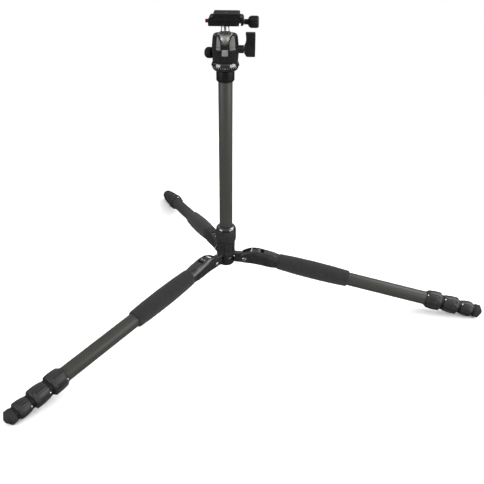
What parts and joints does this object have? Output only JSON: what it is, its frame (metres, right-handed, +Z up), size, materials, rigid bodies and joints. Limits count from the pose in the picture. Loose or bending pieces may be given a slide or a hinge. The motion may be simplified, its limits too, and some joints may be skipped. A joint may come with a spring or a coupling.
{
  "type": "camera tripod",
  "caption": "Carbon travel tripod with a ball head and quick-release clamp, its telescopic legs splayed low and its centre column raised.",
  "frame": {"origin": "centre of the flat underside of the centre column's end cap, with the column fully raised", "axes": "+Z up along the centre column, +X towards the head's main locking knob, -Y towards the front of the head, where its notch is"},
  "size_m": [0.7006, 0.7361, 0.4627],
  "materials": {
    "carbon": "satin woven carbon tube",
    "foam": "matt closed-cell foam",
    "rubber": "matt moulded rubber",
    "graphite": "satin graphite-grey finish on a casting",
    "gloss": "gloss black anodised",
    "anodised": "fine matt black anodised",
    "steel": "bright machined metal",
    "ball_metal": "fine-turned silver grey",
    "nylon": "moulded nylon",
    "red": "red anodised"
  },
  "bodies": {
    "spider": {"spider": "graphite", "column_collet": "nylon"},
    "collar": {"column_lock_collar": "rubber"},
    "column": {"column_tube": "carbon", "column_end_cap": "graphite", "column_top_cap": "anodised", "head_stud": "steel", "pan_base": "gloss"},
    "head": {"head_housing": "gloss", "badge": "steel", "ball_cup": "nylon"},
    "main_knob": {"main_knob": "rubber", "main_knob_screw": "steel"},
    "pan_knob": {"pan_knob": "anodised"},
    "ball": {"ball": "ball_metal"},
    "clamp": {"clamp_body": "anodised"},
    "jaw": {"clamp_jaw": "anodised"},
    "clamp_knob": {"clamp_knob": "rubber", "clamp_screw": "steel"},
    "pin": {"safety_pin": "red"},
    "plate": {"quick_release_plate": "anodised", "plate_pad": "rubber"},
    "camera_screw": {"camera_screw": "steel"},
    "leg_1": {"leg_1_shoulder": "graphite", "leg_1_hinge_bolt": "steel", "leg_1_upper_tube": "carbon", "leg_1_foam_grip": "foam"},
    "leg_1_stop": {"leg_1_angle_stop": "anodised"},
    "leg_1_twist_1": {"leg_1_lock_1": "rubber"},
    "leg_1_second": {"leg_1_section_2": "carbon"},
    "leg_1_twist_2": {"leg_1_lock_2": "rubber"},
    "leg_1_third": {"leg_1_section_3": "carbon"},
    "leg_1_twist_3": {"leg_1_lock_3": "rubber"},
    "leg_1_fourth": {"leg_1_section_4": "carbon", "leg_1_foot": "rubber"},
    "leg_2": {"leg_2_shoulder": "graphite", "leg_2_hinge_bolt": "steel", "leg_2_upper_tube": "carbon", "leg_2_foam_grip": "foam"},
    "leg_2_stop": {"leg_2_angle_stop": "anodised"},
    "leg_2_twist_1": {"leg_2_lock_1": "rubber"},
    "leg_2_second": {"leg_2_section_2": "carbon"},
    "leg_2_twist_2": {"leg_2_lock_2": "rubber"},
    "leg_2_third": {"leg_2_section_3": "carbon"},
    "leg_2_twist_3": {"leg_2_lock_3": "rubber"},
    "leg_2_fourth": {"leg_2_section_4": "carbon", "leg_2_foot": "rubber"},
    "leg_3": {"leg_3_shoulder": "graphite", "leg_3_hinge_bolt": "steel", "leg_3_upper_tube": "carbon", "leg_3_foam_grip": "foam"},
    "leg_3_stop": {"leg_3_angle_stop": "anodised"},
    "leg_3_twist_1": {"leg_3_lock_1": "rubber"},
    "leg_3_second": {"leg_3_section_2": "carbon"},
    "leg_3_twist_2": {"leg_3_lock_2": "rubber"},
    "leg_3_third": {"leg_3_section_3": "carbon"},
    "leg_3_twist_3": {"leg_3_lock_3": "rubber"},
    "leg_3_fourth": {"leg_3_section_4": "carbon", "leg_3_foot": "rubber"}
  },
  "joints": [
    {"name": "column_lock_turn", "type": "hinge", "parent": "spider", "child": "collar", "pos_m": [0, 0, 0.05], "axis": [0, 0, 1], "range_deg": [0, 90]},
    {"name": "column_slide", "type": "slide", "parent": "spider", "child": "column", "axis": [0, 0, 1], "range_m": [-0.235, 0]},
    {"name": "head_pan", "type": "hinge", "parent": "column", "child": "head", "pos_m": [0, 0, 0.337], "axis": [0, 0, 1], "continuous": true},
    {"name": "main_knob_turn", "type": "hinge", "parent": "head", "child": "main_knob", "pos_m": [0.03, 0, 0.3544], "axis": [1, 0, 0], "range_deg": [0, 180]},
    {"name": "pan_knob_turn", "type": "hinge", "parent": "head", "child": "pan_knob", "pos_m": [-0.02415, 0.00647, 0.348], "axis": [-0.9659, 0.2588, 0], "range_deg": [0, 360]},
    {"name": "ball_tilt", "type": "hinge", "parent": "head", "child": "ball", "pos_m": [0, 0, 0.3658], "axis": [-1, 0, 0], "range_deg": [-90, 28]},
    {"name": "ball_spin", "type": "hinge", "parent": "ball", "child": "clamp", "pos_m": [0, 0, 0.3882], "axis": [0, 0, 1], "continuous": true},
    {"name": "clamp_jaw_slide", "type": "slide", "parent": "clamp", "child": "jaw", "axis": [1, 0, 0], "range_m": [0, 0.0025]},
    {"name": "clamp_knob_turn", "type": "hinge", "parent": "jaw", "child": "clamp_knob", "pos_m": [0.03, 0, 0.392], "axis": [1, 0, 0], "range_deg": [0, 720]},
    {"name": "safety_pin_press", "type": "slide", "parent": "clamp", "child": "pin", "axis": [1, 0, 0], "range_m": [0, 0.003], "stiffness_N_per_m": 300},
    {"name": "plate_slide", "type": "slide", "parent": "clamp", "child": "plate", "axis": [0, 1, 0], "range_m": [-0.012, 0.012]},
    {"name": "camera_screw_turn", "type": "hinge", "parent": "plate", "child": "camera_screw", "pos_m": [0.0021, 0, 0.397], "axis": [0, 0, 1], "continuous": true},
    {"name": "leg_1_fold", "type": "hinge", "parent": "spider", "child": "leg_1", "pos_m": [0.03205, -0.00536, 0.013], "axis": [-0.165, -0.9863, 0], "range_deg": [-78, 88]},
    {"name": "leg_1_stop_pull", "type": "slide", "parent": "leg_1", "child": "leg_1_stop", "axis": [0.9713, -0.1625, -0.1736], "range_m": [0, 0.0045], "stiffness_N_per_m": 400},
    {"name": "leg_1_twist_1_turn", "type": "hinge", "parent": "leg_1", "child": "leg_1_twist_1", "pos_m": [0.33996, -0.05689, -0.03378], "axis": [0.9713, -0.1625, -0.1736], "range_deg": [0, 120]},
    {"name": "leg_1_second_slide", "type": "slide", "parent": "leg_1", "child": "leg_1_second", "axis": [0.9713, -0.1625, -0.1736], "range_m": [0, 0.235]},
    {"name": "leg_1_twist_2_turn", "type": "hinge", "parent": "leg_1_second", "child": "leg_1_twist_2", "pos_m": [0.36909, -0.06177, -0.03899], "axis": [0.9713, -0.1625, -0.1736], "range_deg": [0, 120]},
    {"name": "leg_1_third_slide", "type": "slide", "parent": "leg_1_second", "child": "leg_1_third", "axis": [0.9713, -0.1625, -0.1736], "range_m": [0, 0.24]},
    {"name": "leg_1_twist_3_turn", "type": "hinge", "parent": "leg_1_third", "child": "leg_1_twist_3", "pos_m": [0.39338, -0.06583, -0.04333], "axis": [0.9713, -0.1625, -0.1736], "range_deg": [0, 120]},
    {"name": "leg_1_fourth_slide", "type": "slide", "parent": "leg_1_third", "child": "leg_1_fourth", "axis": [0.9713, -0.1625, -0.1736], "range_m": [0, 0.25]},
    {"name": "leg_2_fold", "type": "hinge", "parent": "spider", "child": "leg_2", "pos_m": [-0.01138, 0.03044, 0.013], "axis": [0.9367, 0.3502, 0], "range_deg": [-78, 88]},
    {"name": "leg_2_stop_pull", "type": "slide", "parent": "leg_2", "child": "leg_2_stop", "axis": [-0.3449, 0.9224, -0.1736], "range_m": [0, 0.0045], "stiffness_N_per_m": 400},
    {"name": "leg_2_twist_1_turn", "type": "hinge", "parent": "leg_2", "child": "leg_2_twist_1", "pos_m": [-0.12071, 0.32285, -0.03378], "axis": [-0.3449, 0.9224, -0.1736], "range_deg": [0, 120]},
    {"name": "leg_2_second_slide", "type": "slide", "parent": "leg_2", "child": "leg_2_second", "axis": [-0.3449, 0.9224, -0.1736], "range_m": [0, 0.235]},
    {"name": "leg_2_twist_2_turn", "type": "hinge", "parent": "leg_2_second", "child": "leg_2_twist_2", "pos_m": [-0.13106, 0.35053, -0.03899], "axis": [-0.3449, 0.9224, -0.1736], "range_deg": [0, 120]},
    {"name": "leg_2_third_slide", "type": "slide", "parent": "leg_2_second", "child": "leg_2_third", "axis": [-0.3449, 0.9224, -0.1736], "range_m": [0, 0.24]},
    {"name": "leg_2_twist_3_turn", "type": "hinge", "parent": "leg_2_third", "child": "leg_2_twist_3", "pos_m": [-0.13968, 0.37359, -0.04333], "axis": [-0.3449, 0.9224, -0.1736], "range_deg": [0, 120]},
    {"name": "leg_2_fourth_slide", "type": "slide", "parent": "leg_2_third", "child": "leg_2_fourth", "axis": [-0.3449, 0.9224, -0.1736], "range_m": [0, 0.25]},
    {"name": "leg_3_fold", "type": "hinge", "parent": "spider", "child": "leg_3", "pos_m": [-0.02067, -0.02508, 0.013], "axis": [-0.7716, 0.6361, 0], "range_deg": [-78, 88]},
    {"name": "leg_3_stop_pull", "type": "slide", "parent": "leg_3", "child": "leg_3_stop", "axis": [-0.6264, -0.7599, -0.1736], "range_m": [0, 0.0045], "stiffness_N_per_m": 400},
    {"name": "leg_3_twist_1_turn", "type": "hinge", "parent": "leg_3", "child": "leg_3_twist_1", "pos_m": [-0.21925, -0.26597, -0.03378], "axis": [-0.6264, -0.7599, -0.1736], "range_deg": [0, 120]},
    {"name": "leg_3_second_slide", "type": "slide", "parent": "leg_3", "child": "leg_3_second", "axis": [-0.6264, -0.7599, -0.1736], "range_m": [0, 0.235]},
    {"name": "leg_3_twist_2_turn", "type": "hinge", "parent": "leg_3_second", "child": "leg_3_twist_2", "pos_m": [-0.23804, -0.28876, -0.03899], "axis": [-0.6264, -0.7599, -0.1736], "range_deg": [0, 120]},
    {"name": "leg_3_third_slide", "type": "slide", "parent": "leg_3_second", "child": "leg_3_third", "axis": [-0.6264, -0.7599, -0.1736], "range_m": [0, 0.24]},
    {"name": "leg_3_twist_3_turn", "type": "hinge", "parent": "leg_3_third", "child": "leg_3_twist_3", "pos_m": [-0.2537, -0.30776, -0.04333], "axis": [-0.6264, -0.7599, -0.1736], "range_deg": [0, 120]},
    {"name": "leg_3_fourth_slide", "type": "slide", "parent": "leg_3_third", "child": "leg_3_fourth", "axis": [-0.6264, -0.7599, -0.1736], "range_m": [0, 0.25]}
  ],
  "couplings": [
    {"joint": "clamp_jaw_slide", "follows": "clamp_knob_turn", "m_per_rad": 0.00019894}
  ]
}
